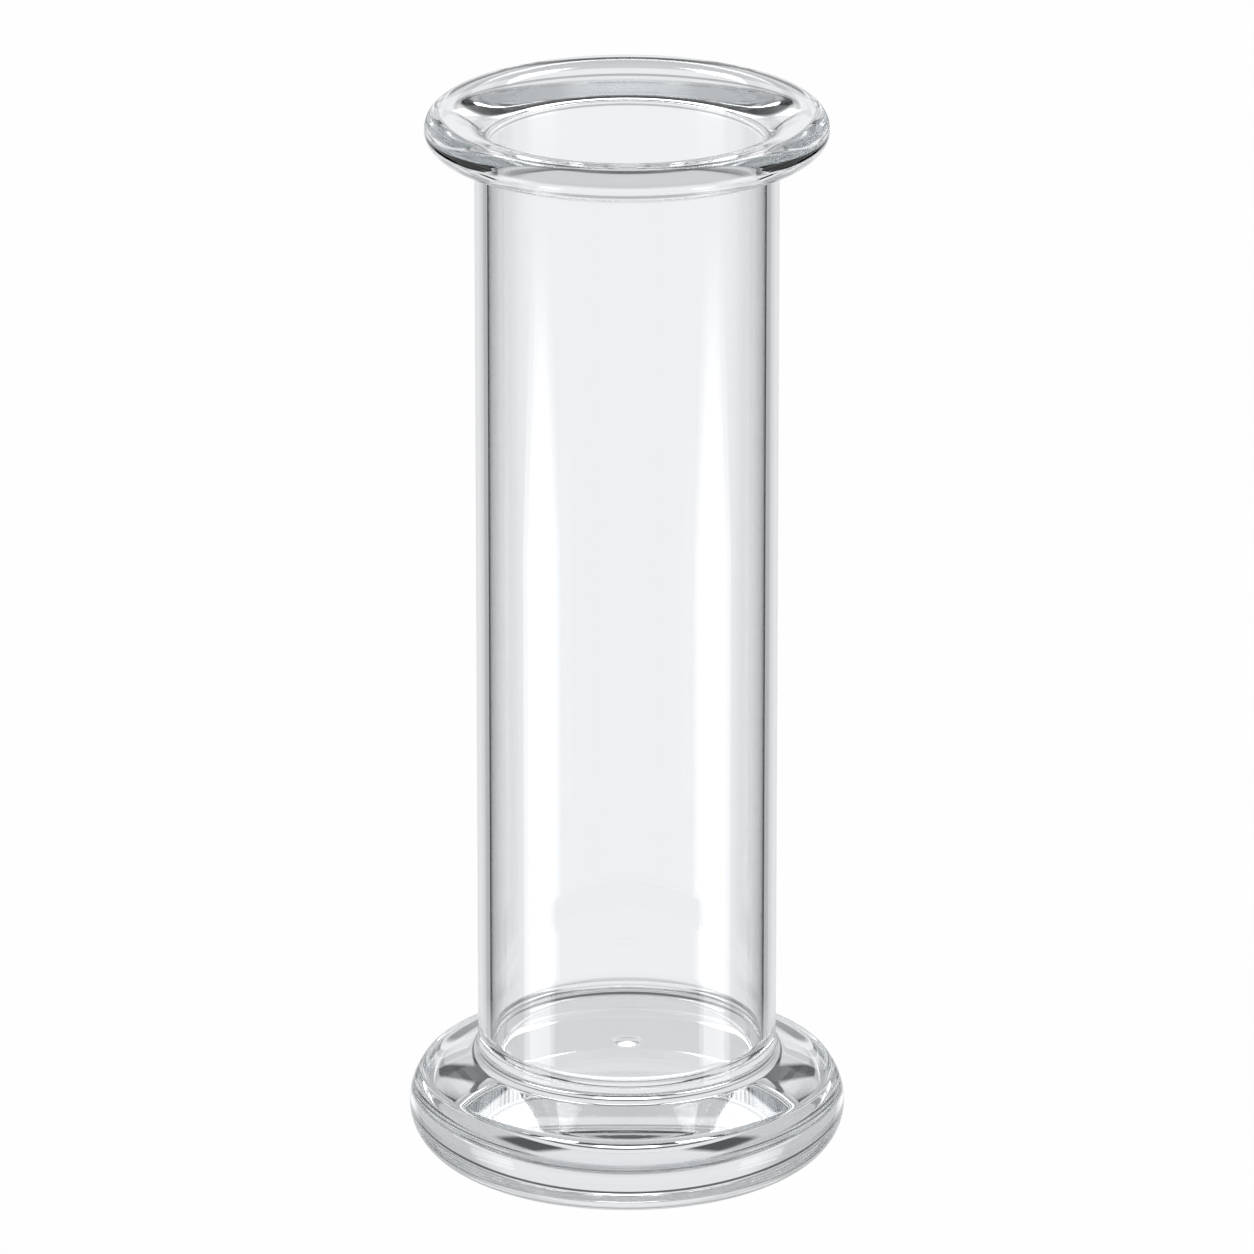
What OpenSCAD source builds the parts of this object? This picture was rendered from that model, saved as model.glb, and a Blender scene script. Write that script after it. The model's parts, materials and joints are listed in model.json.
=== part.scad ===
// Gas jar: a straight glass cylinder, closed below by a thick rounded foot
// and opened above by a flange that carries a cover plate.
// The whole jar is one piece of glass, turned about the Z axis.
// Origin: centre of the underside. +Z: up, towards the mouth.

/* [Tube] */
// Overall height, from the table to the top of the flange
jar_h = 200; // [160:5:300]
// Outer diameter of the tube
tube_d = 55; // [48:0.5:58]
// Thickness of the tube wall
wall_t = 2.5; // [1.8:0.1:4]

/* [Foot] */
// Diameter of the foot at its widest
foot_d = 80.4; // [74:0.2:100]
// Radius of the foot's rounded lower edge, and the height of its widest ring
foot_edge_r = 8.4; // [6:0.2:10]
// Radius of the foot's side above its widest ring
foot_side_r = 10; // [8:0.5:14]
// How far the side curves inwards before the corner, in degrees
foot_side_turn = 38; // [20:1:50]
// Radius of the corner between the side and the sloping upper face
foot_corner_r = 3; // [1:0.25:6]
// Fall of the foot's upper face, away from the tube, in degrees
foot_fall = 21; // [10:1:30]
// Radius of the fillet between foot and tube
foot_fillet_r = 2.5; // [1:0.25:4]
// Thickness of solid glass under the bore
floor_t = 20; // [14:0.5:30]
// Radius of the corner between the bore and its floor
floor_corner_r = 3.5; // [1:0.25:8]
// Diameter of the pip that the tool leaves in the middle of the floor
pip_d = 4.4; // [2:0.2:8]
// Height of the pip
pip_h = 0.35; // [0.1:0.05:1]

/* [Flange] */
// Diameter of the flange
flange_d = 73; // [68:0.5:90]
// Thickness of the flange, which has a fully rounded edge
flange_t = 6.5; // [5:0.25:8]
// Radius of the throat, where the flange turns down into the bore
throat_r = 7; // [5:0.25:7.5]
// Radius of the fillet under the flange
neck_fillet_r = 1; // [0.5:0.25:5]

/* [Hidden] */
tube_r = tube_d / 2;
bore_r = tube_r - wall_t;
foot_r = foot_d / 2;
flange_r = flange_d / 2;
flange_edge_r = flange_t / 2;
flange_z = jar_h - flange_t;
foot_edge_x = foot_r - foot_edge_r;
flange_edge_x = flange_r - flange_edge_r;
// centre of the curve of the foot's side, and where that curve ends
foot_side_x = foot_r - foot_side_r;
foot_side_end = [
    foot_side_x + foot_side_r * cos(foot_side_turn),
    foot_edge_r + foot_side_r * sin(foot_side_turn)
];
// centre of the corner above it
foot_corner_x = foot_side_x + (foot_side_r - foot_corner_r) * cos(foot_side_turn);
foot_corner_z = foot_edge_r + (foot_side_r - foot_corner_r) * sin(foot_side_turn);
// where the foot's sloping face leaves the corner
shoulder_x = foot_corner_x + foot_corner_r * sin(foot_fall);
shoulder_z = foot_corner_z + foot_corner_r * cos(foot_fall);
// height at which the sloping face would meet the tube without a fillet
collar_z = shoulder_z + (shoulder_x - tube_r) * tan(foot_fall);
// radius of the ball that the pip is a cap of
pip_ball_r = (pow(pip_d / 2, 2) + pow(pip_h, 2)) / (2 * pip_h);
over = 1;
$fn = 180;

// section of the foot: underside, rounded edge, side, corner and sloping upper face
module foot_section() {
    polygon([
        [0, 0],
        [foot_edge_x, 0],
        [foot_r, foot_edge_r],
        foot_side_end,
        [shoulder_x, shoulder_z],
        [tube_r, collar_z],
        [0, collar_z]
    ]);
    intersection() {
        translate([foot_edge_x, foot_edge_r]) circle(r = foot_edge_r);
        translate([foot_edge_x, 0]) square([foot_edge_r + over, foot_edge_r]);
    }
    intersection() {
        translate([foot_side_x, foot_edge_r]) circle(r = foot_side_r);
        translate([foot_side_x, foot_edge_r]) polygon([
            [0, 0],
            [2 * foot_side_r, 0],
            [2 * foot_side_r * cos(foot_side_turn), 2 * foot_side_r * sin(foot_side_turn)]
        ]);
    }
    translate([foot_corner_x, foot_corner_z]) circle(r = foot_corner_r);
}

// what fills the corner between the foot's sloping face and the tube
module foot_fillet_section() {
    fillet_z = collar_z + foot_fillet_r * (1 / cos(foot_fall) - tan(foot_fall));
    fillet_x = tube_r + foot_fillet_r;
    difference() {
        polygon([
            [tube_r - over, collar_z],
            [tube_r, collar_z],
            [fillet_x - foot_fillet_r * sin(foot_fall), fillet_z - foot_fillet_r * cos(foot_fall)],
            [fillet_x, fillet_z],
            [tube_r - over, fillet_z]
        ]);
        translate([fillet_x, fillet_z]) circle(r = foot_fillet_r);
    }
}

// section of the flange with its rounded edge and the fillet below it
module flange_section() {
    translate([0, flange_z]) square([flange_edge_x, flange_t]);
    translate([flange_edge_x, jar_h - flange_edge_r]) circle(r = flange_edge_r);
    difference() {
        translate([tube_r - over, flange_z - neck_fillet_r])
            square([neck_fillet_r + over, neck_fillet_r + over]);
        translate([tube_r + neck_fillet_r, flange_z - neck_fillet_r]) circle(r = neck_fillet_r);
    }
}

// section of the hollow: bore, rounded floor corner and flared throat
module hollow_section() {
    translate([0, floor_t + floor_corner_r]) square([bore_r, jar_h]);
    translate([0, floor_t]) square([bore_r - floor_corner_r, jar_h]);
    translate([bore_r - floor_corner_r, floor_t + floor_corner_r]) circle(r = floor_corner_r);
    difference() {
        translate([bore_r - over, jar_h - throat_r]) square([throat_r + over, throat_r + over]);
        translate([bore_r + throat_r, jar_h - throat_r]) circle(r = throat_r);
    }
}

// section of the pip: the top of a ball, bedded in the floor
module pip_section() {
    intersection() {
        translate([0, floor_t + pip_h - pip_ball_r]) circle(r = pip_ball_r);
        translate([0, floor_t - over]) square([pip_d / 2, pip_h + over]);
    }
}

module gas_jar() {
    color([0.86, 0.9, 0.93, 0.45]) rotate_extrude() {
        pip_section();
        intersection() {
            difference() {
                union() {
                    foot_section();
                    foot_fillet_section();
                    square([tube_r, flange_z + over]);
                    flange_section();
                }
                hollow_section();
            }
            square([foot_r + over, jar_h]);
        }
    }
}

gas_jar();
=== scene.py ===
import json
import math

import bpy
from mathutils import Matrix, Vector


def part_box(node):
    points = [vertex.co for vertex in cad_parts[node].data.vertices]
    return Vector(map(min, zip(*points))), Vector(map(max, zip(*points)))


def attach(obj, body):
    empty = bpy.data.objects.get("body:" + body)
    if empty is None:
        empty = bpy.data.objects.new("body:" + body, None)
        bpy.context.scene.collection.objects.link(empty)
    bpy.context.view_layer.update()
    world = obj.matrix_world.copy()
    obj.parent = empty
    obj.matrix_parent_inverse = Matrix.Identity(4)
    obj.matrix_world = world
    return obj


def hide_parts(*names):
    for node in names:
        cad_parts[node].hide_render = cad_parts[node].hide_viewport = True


# The scene is one glass jar standing on a pale table in a white studio.
# Lengths are in millimetres where they describe the jar and in metres elsewhere.
MM = 0.001

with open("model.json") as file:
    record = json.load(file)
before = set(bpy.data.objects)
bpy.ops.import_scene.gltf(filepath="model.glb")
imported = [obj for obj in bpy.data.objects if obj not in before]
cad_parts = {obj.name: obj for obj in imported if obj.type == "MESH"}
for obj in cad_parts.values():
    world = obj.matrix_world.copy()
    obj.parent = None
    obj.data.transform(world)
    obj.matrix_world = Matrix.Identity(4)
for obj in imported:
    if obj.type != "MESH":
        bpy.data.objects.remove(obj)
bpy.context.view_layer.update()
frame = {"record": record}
jar_low, jar_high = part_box("gas_jar")
scene = bpy.context.scene

# Sizes that the frame states
JAR_HEIGHT = (jar_high.z - jar_low.z) / MM
MOUNTS = {mount["name"]: mount for mount in frame["record"]["mounts"]}
BORE_RADIUS = MOUNTS["bore"]["dims"]["r_mm"]

# The rest of the section
WALL = 2.5
TUBE_RADIUS = BORE_RADIUS + WALL
FOOT_RADIUS = 40.2
FOOT_EDGE = 8.4
FOOT_SIDE = 10.0
FOOT_SIDE_TURN = 38.0
FOOT_CORNER = 3.0
FOOT_FALL = 21.0
FOOT_FILLET = 2.5
FLOOR = 20.0
FLOOR_CORNER = 3.5
PIP_RADIUS = 2.2
PIP_HEIGHT = 0.35
FLANGE_RADIUS = 36.5
FLANGE_THICKNESS = 6.5
THROAT = 7.0
NECK_FILLET = 1.0

# How finely the section is turned, and how close together two points are one
TURN_STEPS = 288
SAME_POINT = 0.002

# How far from the end of a straight edge the ring lies that holds it straight
MARGIN = 0.4
PIP_MARGIN = 1.2

# The glass: its face-on tint, the painted shade that darkens it where it is seen edge-on and the
# facing where that begins, and how light fades over a metre of it
FACE_TINT = (0.995, 0.998, 1.0, 1)
EDGE_PAINTED_SHADE = (0.08, 0.095, 0.105, 1)
PAINTED_SHADE_START = 0.74
DEPTH_TINT = (0.0, 0.1, 0.14, 1)
DEPTH_DENSITY = 1.2
REFRACTIVE_INDEX = 1.5

# The scene: the eye, the table, the backdrop and the light
EYE_AWAY = 2.0
EYE_HEIGHT = 0.8329
EYE_DOWN = 0.3507
LENS = 335.0
TABLE_SIZE = 12
TABLE_GAP = 0.0004
DOME_RADIUS = 8
STUDIO_WHITE = (0.975, 0.985, 1.0, 1)
LIGHT_BOUNCES = 128


# ---- drawing and turning the section ----


def deselect_all():
    bpy.ops.object.select_all(action="DESELECT")
    bpy.context.view_layer.objects.active = None


class Section:
    """Draws half of a turned shape in the XZ plane, one edge after the other."""

    def __init__(self, name, x, z):
        deselect_all()
        bpy.ops.mesh.primitive_plane_add(size=MM, location=(0, 0, 0))
        self.piece = bpy.context.object
        self.piece.name = name
        bpy.ops.object.mode_set(mode="EDIT")
        bpy.ops.mesh.select_all(action="SELECT")
        bpy.ops.mesh.merge(type="CENTER")
        bpy.ops.transform.translate(value=(x * MM, 0, z * MM))
        self.x, self.z = x, z

    def _edge(self, x, z):
        """One edge from the last point to a new one."""
        step = ((x - self.x) * MM, 0, (z - self.z) * MM)
        bpy.ops.mesh.extrude_region_move(TRANSFORM_OT_translate={"value": step})
        self.x, self.z = x, z

    def line(self, x, z, margin=MARGIN):
        """A straight edge to a point, held straight by a ring near each of its ends."""
        length = math.hypot(x - self.x, z - self.z)
        if length > 3 * margin:
            step_x, step_z = (x - self.x) * margin / length, (z - self.z) * margin / length
            self._edge(self.x + step_x, self.z + step_z)
            self._edge(x - step_x, z - step_z)
        self._edge(x, z)

    def arc(self, centre_x, centre_z, turn, steps):
        """An arc about a centre, anticlockwise for a positive turn in degrees."""
        angle = math.radians(turn)
        bpy.ops.mesh.spin(
            steps=steps,
            angle=angle,
            center=(centre_x * MM, 0, centre_z * MM),
            axis=(0, 1, 0),
        )
        out, up = self.x - centre_x, self.z - centre_z
        self.x = centre_x + out * math.cos(angle) - up * math.sin(angle)
        self.z = centre_z + out * math.sin(angle) + up * math.cos(angle)

    def turn(self, steps):
        """Turns the section about the Z axis into a closed solid."""
        bpy.ops.mesh.select_all(action="SELECT")
        bpy.ops.mesh.remove_doubles(threshold=SAME_POINT * MM)
        bpy.ops.mesh.spin(steps=steps, angle=math.tau, center=(0, 0, 0), axis=(0, 0, 1))
        bpy.ops.mesh.select_all(action="SELECT")
        bpy.ops.mesh.remove_doubles(threshold=SAME_POINT * MM)
        bpy.ops.mesh.normals_make_consistent(inside=False)
        bpy.ops.object.mode_set(mode="OBJECT")
        bpy.ops.object.shade_smooth()
        return self.piece


def across(degrees, length):
    """A step of a length in a direction, as its two parts."""
    return length * math.cos(math.radians(degrees)), length * math.sin(math.radians(degrees))


def blow_jar():
    """The jar: foot, tube, flange and hollow in one line round the glass."""
    section = Section("jar_glass", 0, 0)

    # underside, rounded lower edge, side and corner of the foot
    edge_x = FOOT_RADIUS - FOOT_EDGE
    side_x = FOOT_RADIUS - FOOT_SIDE
    inward, upward = across(FOOT_SIDE_TURN, FOOT_SIDE - FOOT_CORNER)
    corner_x, corner_z = side_x + inward, FOOT_EDGE + upward
    section.line(edge_x, 0)
    section.arc(edge_x, FOOT_EDGE, 90, 22)
    section.arc(side_x, FOOT_EDGE, FOOT_SIDE_TURN, 12)
    section.arc(corner_x, corner_z, 90 - FOOT_FALL - FOOT_SIDE_TURN, 8)

    # sloping face, and the fillet that leads it up into the tube
    slope = math.tan(math.radians(FOOT_FALL))
    collar_z = section.z + (section.x - TUBE_RADIUS) * slope
    fillet_x = TUBE_RADIUS + FOOT_FILLET
    down, out = across(FOOT_FALL, FOOT_FILLET)
    fillet_z = collar_z + FOOT_FILLET * FOOT_FILLET / down - FOOT_FILLET * slope
    section.line(fillet_x - out, fillet_z - down)
    section.arc(fillet_x, fillet_z, FOOT_FALL - 90, 12)

    # tube, and the flange with its full round edge
    flange_z = JAR_HEIGHT - FLANGE_THICKNESS
    flange_edge = FLANGE_THICKNESS / 2
    section.line(TUBE_RADIUS, flange_z - NECK_FILLET)
    section.arc(TUBE_RADIUS + NECK_FILLET, flange_z - NECK_FILLET, -90, 8)
    section.line(FLANGE_RADIUS - flange_edge, flange_z)
    section.arc(FLANGE_RADIUS - flange_edge, JAR_HEIGHT - flange_edge, 180, 36)

    # flared throat, bore and floor with its pip
    section.line(BORE_RADIUS + THROAT, JAR_HEIGHT)
    section.arc(BORE_RADIUS + THROAT, JAR_HEIGHT - THROAT, 90, 28)
    section.line(BORE_RADIUS, FLOOR + FLOOR_CORNER)
    section.arc(BORE_RADIUS - FLOOR_CORNER, FLOOR + FLOOR_CORNER, -90, 16)
    ball = (PIP_RADIUS**2 + PIP_HEIGHT**2) / (2 * PIP_HEIGHT)
    section.line(PIP_RADIUS, FLOOR, margin=PIP_MARGIN)
    section.arc(0, FLOOR + PIP_HEIGHT - ball, math.degrees(math.asin(PIP_RADIUS / ball)), 10)
    return section.turn(TURN_STEPS)


# ---- shading ----


class Maths:
    """A number in a shader: the usual signs join two of them with a Math node."""

    def __init__(self, graph, socket):
        self.graph, self.socket = graph, socket

    def _join(self, operation, *values):
        made = self.graph.node("ShaderNodeMath", {"operation": operation}, *values)
        return Maths(self.graph, made.outputs[0])

    def __add__(self, other):
        return self._join("ADD", self, other)

    def __radd__(self, other):
        return self._join("ADD", other, self)

    def __sub__(self, other):
        return self._join("SUBTRACT", self, other)

    def __rsub__(self, other):
        return self._join("SUBTRACT", other, self)

    def __mul__(self, other):
        return self._join("MULTIPLY", self, other)

    def __rmul__(self, other):
        return self._join("MULTIPLY", other, self)

    def __truediv__(self, other):
        return self._join("DIVIDE", self, other)

    def degrees(self):
        return self._join("DEGREES", self)

    def lowest(self, other):
        return self._join("MINIMUM", self, other)

    def highest(self, other):
        return self._join("MAXIMUM", self, other)

    def size(self):
        return self._join("ABSOLUTE", self)

    def held(self):
        """The value kept between 0 and 1."""
        return self.lowest(1.0).highest(0.0)


class Graph:
    """The node tree of a material or of the world."""

    def __init__(self, owner):
        owner.use_nodes = True
        self.tree = owner.node_tree
        self.tree.nodes.clear()

    def node(self, kind, settings, *values, **named):
        made = self.tree.nodes.new(kind)
        for name, value in settings.items():
            setattr(made, name, value)
        for key, value in [*enumerate(values), *named.items()]:
            socket = made.inputs[key if isinstance(key, int) else key.replace("_", " ")]
            if isinstance(value, Maths):
                value = value.socket
            if isinstance(value, bpy.types.NodeSocket):
                self.tree.links.new(value, socket)
            elif value is not None:
                socket.default_value = value
        return made

    def number(self, socket):
        return Maths(self, socket)


def clear_glass():
    """Clear soda glass with painted shade where it is seen edge-on, faintly waved and grey in its
    depth.
    """
    glass = bpy.data.materials.new("clear_glass")
    graph = Graph(glass)
    place = graph.node("ShaderNodeTexCoord", {}).outputs["Object"]
    ripple = graph.node("ShaderNodeTexNoise", {}, Vector=place, Scale=45.0, Detail=1.0, Roughness=0.4)
    drawn = graph.node("ShaderNodeMapping", {}, Vector=place, Scale=(70.0, 70.0, 8.0))
    cords = graph.node("ShaderNodeTexNoise", {}, Vector=drawn.outputs[0], Scale=1.0, Detail=1.0)
    height = graph.number(ripple.outputs[0]) + 0.5 * graph.number(cords.outputs[0])
    bump = graph.node("ShaderNodeBump", {}, Strength=0.02, Distance=0.0002, Height=height)
    haze = graph.node("ShaderNodeTexNoise", {}, Vector=place, Scale=25.0, Detail=3.0)
    roughness = 0.006 * (graph.number(haze.outputs[0]) - 0.5).highest(0.0)

    # painted shade: the base colour turns dark where the surface is seen edge-on, in place of the dark
    # lines that reflections draw at the edges of the glass
    facing = graph.number(graph.node("ShaderNodeLayerWeight", {}, Blend=0.5).outputs["Facing"])
    painted_shade = ((facing - PAINTED_SHADE_START) / (1 - PAINTED_SHADE_START)).held()
    tint_with_painted_shade = graph.node("ShaderNodeMix", {"data_type": "RGBA"}, painted_shade * painted_shade)
    tint_with_painted_shade.inputs[6].default_value = FACE_TINT
    tint_with_painted_shade.inputs[7].default_value = EDGE_PAINTED_SHADE
    surface = graph.node(
        "ShaderNodeBsdfPrincipled",
        {},
        Base_Color=tint_with_painted_shade.outputs[2],
        Roughness=roughness,
        IOR=REFRACTIVE_INDEX,
        Transmission_Weight=1.0,
        Normal=bump.outputs[0],
    )
    depth = graph.node("ShaderNodeVolumeAbsorption", {}, DEPTH_TINT, DEPTH_DENSITY)
    graph.node("ShaderNodeOutputMaterial", {}, surface.outputs[0], depth.outputs[0])
    return glass


def pale_table():
    """A matt white table top, lit evenly, with a hardly visible mottle."""
    top = bpy.data.materials.new("pale_table")
    graph = Graph(top)
    place = graph.node("ShaderNodeTexCoord", {}).outputs["Object"]
    mottle = graph.node("ShaderNodeTexNoise", {}, Vector=place, Scale=4.0, Detail=2.0)
    level = 0.985 + 0.01 * graph.number(mottle.outputs[0])
    shade = graph.node("ShaderNodeEmission", {}, (1.0, 1.0, 1.0, 1), level)
    graph.node("ShaderNodeOutputMaterial", {}, shade.outputs[0])
    return top


# ---- the studio ----


def studio():
    """A white room with black and grey cards, strip lights, panes and softboxes round the jar."""
    world = bpy.data.worlds.new("studio")
    scene.world = world
    graph = Graph(world)
    place = graph.node("ShaderNodeTexCoord", {}).outputs["Generated"]
    x, y, z = graph.node("ShaderNodeSeparateXYZ", {}, place).outputs[:3]

    # degrees to either side of straight behind the jar, and degrees above the level
    turned = graph.node("ShaderNodeMath", {"operation": "ARCTAN2"}, x, y).outputs[0]
    aside = graph.number(turned).degrees().size()
    lifted = graph.node("ShaderNodeMath", {"operation": "ARCSINE"}, z).outputs[0]
    rise = graph.number(lifted).degrees()

    def band(value, low, high, soft):
        """1 between two angles, fading to 0 over a few degrees."""
        return ((value - (low - soft / 2)) / soft).held() * (((high + soft / 2) - value) / soft).held()

    # the white room: greyer low down, above the level and towards the zenith
    near = band(aside, -90, 30, 10)
    room = 0.895 - 0.24 * band(rise, -64, -28, 3)
    room = room - 0.3 * band(rise, 4, 200, 4) * (1 - near * band(rise, -90, 34, 4))
    room = room - 0.15 * band(rise, 62, 200, 4)

    # black cards behind and above, which draw the rings in the flange and the foot
    behind = band(aside, -90, 24, 8)
    around = band(aside, -90, 75, 10)
    cards = around * (0.9 * band(rise, -66, -53, 3) + 0.98 * band(rise, 37, 62, 2))
    cards = cards + around * 0.9 * band(rise, 19.5, 25.5, 1.5)
    cards = cards + behind * (0.45 * band(rise, -15, -8, 1.5) + 0.9 * band(rise, 64, 200, 2))

    # black cards at the sides, which draw the lines down the wall
    level = band(rise, -22.2, -16.5, 0.6)
    shade = 0.45 * ((aside - 12) / 26).held() * band(aside, -90, 38.5, 1.5)
    sides = level * (shade + band(aside, 39, 66, 1.5) + 0.45 * band(aside, 66, 90, 3)).held()
    sides = sides + 0.85 * band(aside, 26, 46, 3) * band(rise, -62, -29, 4)

    # grey cards that keep the outline of the tube in sight from the other sides
    low_outline = band(rise, -7, 1, 2) * (band(aside, 36, 64, 6) + band(aside, 126, 154, 6))
    high_outline = band(rise, -29, -24.5, 1.5) * band(aside, 78, 111, 4)
    sides = (sides + 0.6 * low_outline + 0.6 * high_outline).lowest(1.0)

    # the dark part of the room, round the camera
    front = 0.9 * band(aside, 132, 300, 12) * band(rise, -12, 15, 4)

    # strip lights that taper off at their tops
    taper = (0.6 * (-18.05 - rise)).held()
    strip = (0.5 * (3.0 + 10.5 * taper - (aside - 106.0).size())).held()
    strip = strip * taper * band(rise, -23.3, 0, 1.0)

    # panes and soft wings over the strips, softboxes high up behind and one lamp
    pane = band(aside, 92, 119, 2) * band(rise, -17.2, -7, 1.5)
    wing = band(aside, 66, 110, 10) * band(rise, 4, 14, 4)
    softbox = band(aside, 18, 36, 1) * band(rise, 44, 61, 1)
    lamp = band(aside, -90, 7, 1.5) * band(rise, 27, 35, 1.5)

    unlit = room * (1 - sides) * (1 - cards) * (1 - front)
    light = unlit + 2.4 * strip + 2.0 * pane + wing + 8.0 * softbox + 3.0 * lamp
    glow = graph.node("ShaderNodeBackground", {}, STUDIO_WHITE, light)
    graph.node("ShaderNodeOutputWorld", {}, glow.outputs[0])


def for_the_eye_alone(piece, white):
    """Makes a piece white and keeps it out of the glass: only the camera sees it."""
    piece.data.materials.append(white)
    piece.visible_glossy = False
    piece.visible_transmission = False
    piece.visible_diffuse = False


def table_top(white):
    """The table, which fills the view below the jar with white."""
    deselect_all()
    bpy.ops.mesh.primitive_plane_add(size=TABLE_SIZE, location=(0, 0, -TABLE_GAP))
    table = bpy.context.object
    table.name = "table_top"
    bpy.ops.object.mode_set(mode="EDIT")
    bpy.ops.mesh.select_all(action="SELECT")
    bpy.ops.mesh.subdivide(number_cuts=4)
    bpy.ops.object.mode_set(mode="OBJECT")
    bpy.ops.object.transform_apply(location=True, rotation=True, scale=True)
    for_the_eye_alone(table, white)


def backdrop(white):
    """A white dome far round the jar."""
    deselect_all()
    bpy.ops.mesh.primitive_uv_sphere_add(
        segments=64, ring_count=32, radius=DOME_RADIUS, location=(0, 0, 0)
    )
    dome = bpy.context.object
    dome.name = "white_dome"
    bpy.ops.object.mode_set(mode="EDIT")
    bpy.ops.mesh.select_all(action="SELECT")
    bpy.ops.mesh.flip_normals()
    bpy.ops.object.mode_set(mode="OBJECT")
    bpy.ops.object.shade_smooth()
    for_the_eye_alone(dome, white)


def camera():
    """A long lens that looks down on the jar from in front."""
    deselect_all()
    bpy.ops.object.camera_add(
        location=(0, -EYE_AWAY, EYE_HEIGHT), rotation=(math.pi / 2 - EYE_DOWN, 0, 0)
    )
    eye = bpy.context.object
    eye.data.sensor_width = 36
    eye.data.lens = LENS
    eye.data.clip_end = 100
    scene.camera = eye


camera()
studio()
white = pale_table()
table_top(white)
backdrop(white)

jar = blow_jar()
jar.data.materials.append(clear_glass())
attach(jar, "root")
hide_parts("gas_jar")

# light goes through many surfaces of clear glass before it reaches the eye
scene.cycles.max_bounces = LIGHT_BOUNCES
scene.cycles.transmission_bounces = LIGHT_BOUNCES
scene.cycles.glossy_bounces = LIGHT_BOUNCES
scene.view_settings.view_transform = "Standard"
